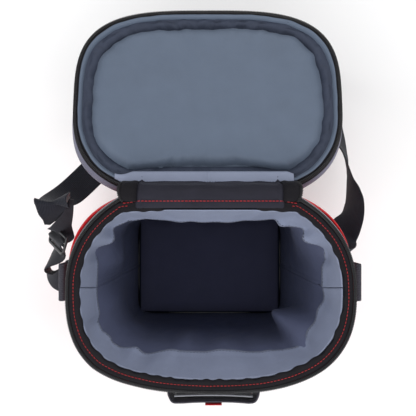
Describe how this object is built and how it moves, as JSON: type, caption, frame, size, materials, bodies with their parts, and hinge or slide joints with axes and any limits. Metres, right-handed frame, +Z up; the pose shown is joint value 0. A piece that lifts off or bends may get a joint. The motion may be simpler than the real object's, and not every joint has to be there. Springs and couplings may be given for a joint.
{
  "type": "insulated zip-lid carry bag",
  "caption": "Soft-sided insulated carry bag, tapered rectangular body with padded zip lid folded back on a fabric hinge, hanging liner collar, front grab handle and webbing shoulder strap",
  "frame": {"origin": "centre of the base's underside, on the ground", "axes": "+Z up, +X to the bag's right seen from the front, +Y towards the hinge and the opened lid"},
  "size_m": [0.3958, 0.4236, 0.2816],
  "materials": {
    "black_fabric": "woven polyester, matt",
    "red_fabric": "woven polyester, matt",
    "grey_lining": "coated polyester lining, soft sheen",
    "light_trim": "satin tape",
    "webbing": "ribbed webbing",
    "foam": "closed-cell foam",
    "board": "stiffener board",
    "black_plastic": "moulded plastic, satin",
    "zinc": "dark plated die casting"
  },
  "bodies": {
    "bag_body": {"base_panel": "black_fabric", "base_board": "board", "base_foam": "foam", "liner_floor": "grey_lining", "front_panel": "black_fabric", "back_panel": "black_fabric", "left_panel": "red_fabric", "right_panel": "red_fabric", "front_foam": "foam", "back_foam": "foam", "left_foam": "foam", "right_foam": "foam", "liner_front": "grey_lining", "liner_back": "grey_lining", "collar_front": "grey_lining", "collar_back": "grey_lining", "rim_piping": "light_trim", "zipper_tape_body": "black_fabric", "zipper_coil_body": "black_plastic", "hinge_panel": "black_fabric", "zip_end_left": "black_fabric", "zip_end_right": "black_fabric", "zipper_slider_left": "zinc", "zipper_slider_right": "zinc", "left_side_tab": "webbing", "right_side_tab": "webbing", "strap_webbing": "webbing", "strap_adjust_loop": "webbing", "tri_glide": "black_plastic", "front_handle_anchor_left": "webbing", "front_handle_anchor_right": "webbing"},
    "lid": {"zipper_coil_lid": "black_plastic", "zipper_tape_lid": "black_fabric", "lid_border": "grey_lining", "lid_hem_strip": "grey_lining", "lid_side_band": "light_trim", "lid_liner": "grey_lining", "lid_foam": "foam", "lid_top_panel": "black_fabric"},
    "front_handle": {"front_handle_webbing": "webbing", "front_handle_backing": "light_trim", "front_handle_tag": "red_fabric"},
    "pull_left": {"pull_tab_left": "black_plastic"},
    "pull_right": {"pull_tab_right": "black_plastic"},
    "ring_left": {"left_strap_ring": "black_plastic"},
    "ring_right": {"right_strap_ring": "black_plastic"}
  },
  "joints": [
    {"name": "lid_hinge", "type": "hinge", "parent": "bag_body", "child": "lid", "pos_m": [0, 0.105, 0.268], "axis": [1, 0, 0], "range_deg": [0, 190], "deforming": ["hinge_panel", "zip_end_left", "zip_end_right"]},
    {"name": "handle_lift", "type": "hinge", "parent": "bag_body", "child": "front_handle", "pos_m": [0.0036, -0.1, 0.268], "axis": [-1, 0, 0], "range_deg": [0, 70]},
    {"name": "ring_swing_left", "type": "hinge", "parent": "bag_body", "child": "ring_left", "pos_m": [-0.14875, 0.01, 0.24262], "axis": [0, 1, 0], "range_deg": [-8, 75], "deforming": ["strap_adjust_loop"]},
    {"name": "ring_swing_right", "type": "hinge", "parent": "bag_body", "child": "ring_right", "pos_m": [0.14875, 0.01, 0.24262], "axis": [0, -1, 0], "range_deg": [-8, 75], "deforming": ["strap_webbing"]},
    {"name": "pull_swing_left", "type": "hinge", "parent": "bag_body", "child": "pull_left", "pos_m": [-0.082, 0.1023, 0.2585], "axis": [0, 1, 0], "range_deg": [-60, 60]},
    {"name": "pull_swing_right", "type": "hinge", "parent": "bag_body", "child": "pull_right", "pos_m": [0.082, 0.1023, 0.2585], "axis": [0, 1, 0], "range_deg": [-60, 60]}
  ]
}
